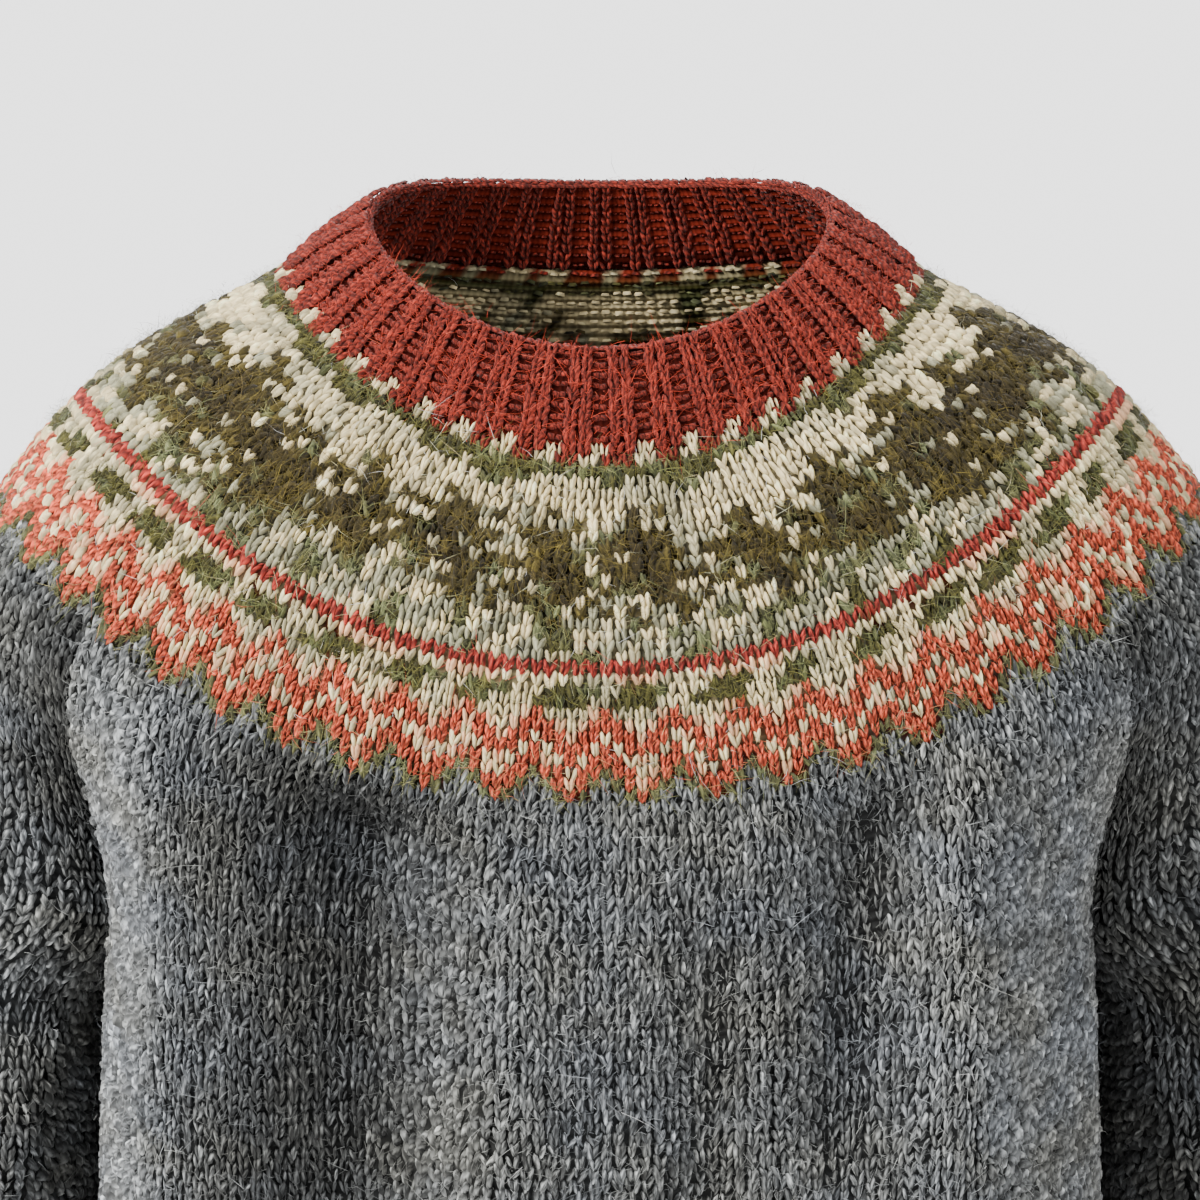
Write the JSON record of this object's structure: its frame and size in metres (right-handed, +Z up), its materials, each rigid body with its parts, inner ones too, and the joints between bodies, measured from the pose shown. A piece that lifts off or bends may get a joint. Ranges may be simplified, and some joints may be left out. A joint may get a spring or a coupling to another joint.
{
  "type": "nordic yoke sweater",
  "caption": "Knitted pullover with a round patterned yoke, ribbed neckband, hem and cuffs, filled out hollow as it is worn.",
  "frame": {"origin": "middle of the neck opening, level with the foot of the neckband where it lies on the shoulders: there the wearer holds the garment up", "axes": "+Z up, the front of the garment faces -Y, +X to the right as seen from the front, which is the wearer's left"},
  "size_m": [0.9, 0.2828, 0.7213],
  "materials": {
    "rust_wool": "ribbed wool knit",
    "patterned_wool": "stranded wool knit in cream, green, rust and grey",
    "grey_wool": "heathered grey wool knit"
  },
  "bodies": {
    "root": {"neckband": "rust_wool", "yoke": "patterned_wool", "front": "grey_wool", "back": "grey_wool", "hem_rib": "grey_wool", "sleeve_right": "grey_wool", "sleeve_left": "grey_wool", "cuff_right": "grey_wool", "cuff_left": "grey_wool"}
  },
  "joints": []
}
